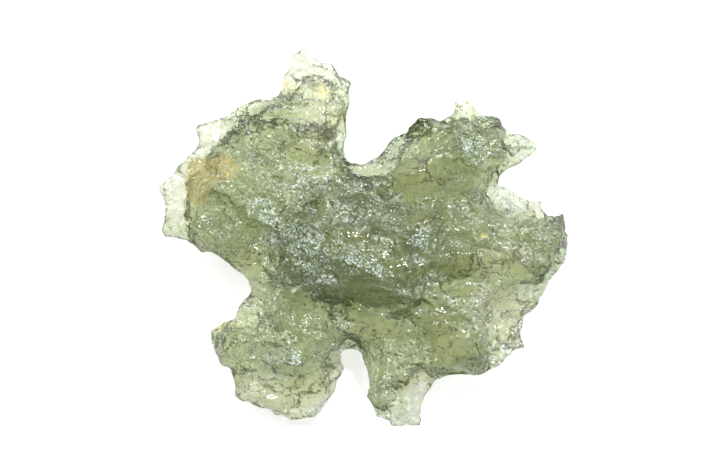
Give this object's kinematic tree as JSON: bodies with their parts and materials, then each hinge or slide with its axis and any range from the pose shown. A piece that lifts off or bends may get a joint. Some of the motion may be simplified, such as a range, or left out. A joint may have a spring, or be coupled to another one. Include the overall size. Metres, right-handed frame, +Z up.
{
  "type": "moldavite",
  "caption": "Natural piece of translucent olive-green glass, etched into pale-rimmed lobes, bowls and grooves, with a darker middle. It lies flat on a small worn spot.",
  "frame": {"origin": "middle of the stone's footprint, at the height of the surface that it rests on", "axes": "+X along the longest extent, from the ochre-stained lobe to the lobe opposite it; +Y across the stone to the tip of its tallest lobe; +Z up, out of the face that the stone doesn't rest on"},
  "size_m": [0.03, 0.0278, 0.009],
  "materials": {
    "moldavite_glass": "translucent natural glass, frosted by fine etching pits, with smooth glossy grooves and nearly clear thin rims"
  },
  "bodies": {
    "root": {"moldavite": "moldavite_glass"}
  },
  "joints": []
}
